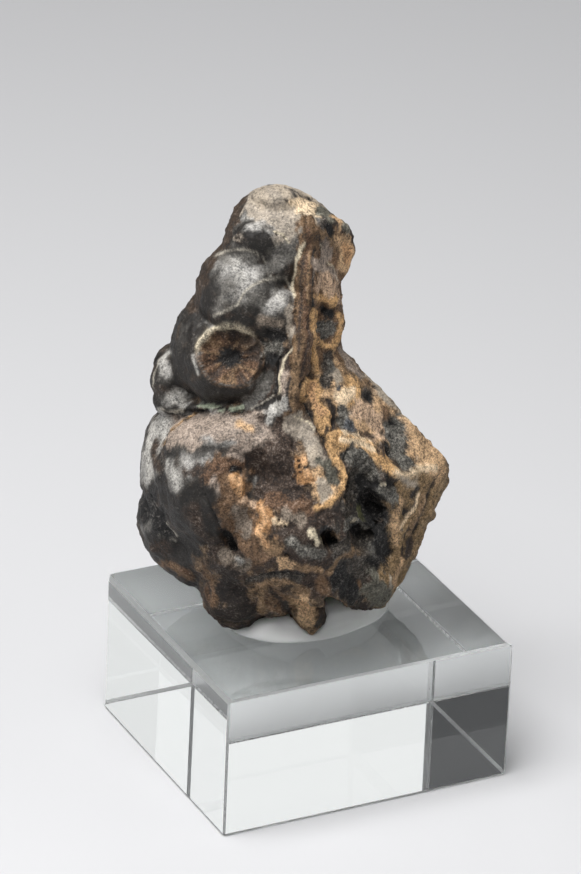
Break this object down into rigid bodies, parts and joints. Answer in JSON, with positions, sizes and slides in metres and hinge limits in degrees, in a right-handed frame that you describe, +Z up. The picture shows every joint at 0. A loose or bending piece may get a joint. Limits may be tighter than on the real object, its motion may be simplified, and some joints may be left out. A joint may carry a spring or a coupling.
{
  "type": "mineral specimen on a display block",
  "caption": "Cassiterite nodule with dark botryoidal domes and a broken tan side, fixed with clear mineral tack to a clear acrylic block.",
  "frame": {"origin": "middle of the acrylic block's underside", "axes": "+Z up through the nodule, X along the block's wide side, -Y out of the block's front face"},
  "size_m": [0.0394, 0.0356, 0.0739],
  "materials": {
    "cassiterite": "satin",
    "mineral_tack": "gloss",
    "clear_acrylic": "gloss"
  },
  "bodies": {
    "root": {"cassiterite": "cassiterite", "mineral_tack": "mineral_tack", "acrylic_block": "clear_acrylic"}
  },
  "joints": []
}
